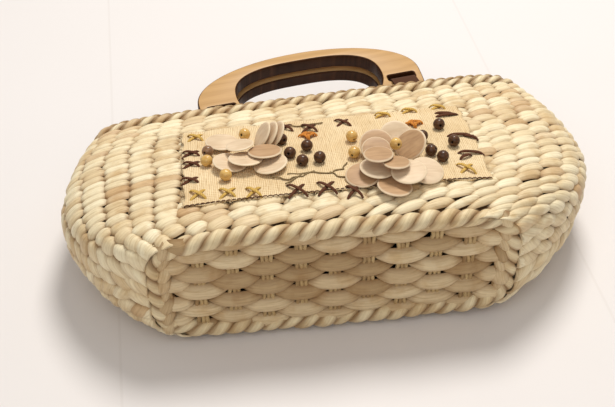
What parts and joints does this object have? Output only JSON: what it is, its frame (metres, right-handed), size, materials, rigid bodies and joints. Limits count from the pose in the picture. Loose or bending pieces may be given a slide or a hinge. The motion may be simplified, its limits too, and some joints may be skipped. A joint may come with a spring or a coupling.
{
  "type": "straw handbag",
  "caption": "Handwoven straw handbag with arched wooden handles, wooden disc flowers and beads on a burlap panel, lying on its back.",
  "frame": {"origin": "bottom centre of the bounding box, on the surface that the back panel lies on", "axes": "+X along the bag's length to the right of its decorated front, +Y from the base towards the mouth and handles, +Z out of the front panel"},
  "size_m": [0.3315, 0.2335, 0.0995],
  "materials": {
    "straw": "twined flat husk strands, pale cream to tan, softly fibrous",
    "straw_cord": "twisted two-strand husk cord",
    "lining_fabric": "plain woven cotton, matt",
    "stiff_board": "matt fibre board",
    "burlap": "coarse plain-weave jute with coloured embroidery stitches",
    "petal_wood": "thin turned discs, satin",
    "dark_wood": "glossy dark stained beads",
    "pale_wood": "lacquered natural and yellow beads",
    "handle_wood": "tan faces, edges glossy dark brown lacquer",
    "strap_fabric": "dark brown woven tape",
    "snap_metal": "polished plated snap halves"
  },
  "bodies": {
    "bag": {"back_left_handle_strap": "strap_fabric", "back_right_handle_strap": "strap_fabric", "back_snap_half": "snap_metal", "base_board": "stiff_board", "base_edge_cord": "straw_cord", "burlap_patch": "burlap", "dark_bead_1": "dark_wood", "dark_bead_10": "dark_wood", "dark_bead_2": "dark_wood", "dark_bead_3": "dark_wood", "dark_bead_4": "dark_wood", "dark_bead_5": "dark_wood", "dark_bead_6": "dark_wood", "dark_bead_7": "dark_wood", "dark_bead_8": "dark_wood", "dark_bead_9": "dark_wood", "fabric_lining": "lining_fabric", "front_left_handle_strap": "strap_fabric", "front_right_handle_strap": "strap_fabric", "front_snap_half": "snap_metal", "inner_pocket": "lining_fabric", "left_petal_back_left": "petal_wood", "left_petal_fan_left": "petal_wood", "left_petal_fan_middle": "petal_wood", "left_petal_fan_right": "petal_wood", "left_petal_front_left": "petal_wood", "left_petal_front_right": "petal_wood", "left_petal_mid": "petal_wood", "left_petal_mid_back": "petal_wood", "left_petal_mid_right": "petal_wood", "mouth_rim_cord": "straw_cord", "pale_bead_1": "pale_wood", "pale_bead_2": "pale_wood", "pale_bead_3": "pale_wood", "pale_bead_4": "pale_wood", "pale_bead_5": "pale_wood", "pale_bead_6": "pale_wood", "pale_bead_7": "pale_wood", "right_petal_behind": "petal_wood", "right_petal_front": "petal_wood", "right_petal_front_left": "petal_wood", "right_petal_inner_standing": "petal_wood", "right_petal_left_standing": "petal_wood", "right_petal_mid_left": "petal_wood", "right_petal_mid_right": "petal_wood", "right_petal_right": "petal_wood", "right_petal_right_standing": "petal_wood", "right_petal_seat": "petal_wood", "right_petal_small_front": "petal_wood", "woven_base": "straw", "woven_wall": "straw"},
    "front_handle_body": {"front_handle": "handle_wood"},
    "back_handle_body": {"back_handle": "handle_wood"}
  },
  "joints": [
    {"name": "front_handle_hinge", "type": "hinge", "parent": "bag", "child": "front_handle_body", "pos_m": [0.004, 0.0631, 0.0375], "axis": [0.9859, 0.1676, 0], "range_deg": [0, 50]},
    {"name": "back_handle_hinge", "type": "hinge", "parent": "bag", "child": "back_handle_body", "pos_m": [0.004, 0.0653, 0.0195], "axis": [0.9859, 0.1676, 0], "range_deg": [-31, 0]}
  ]
}
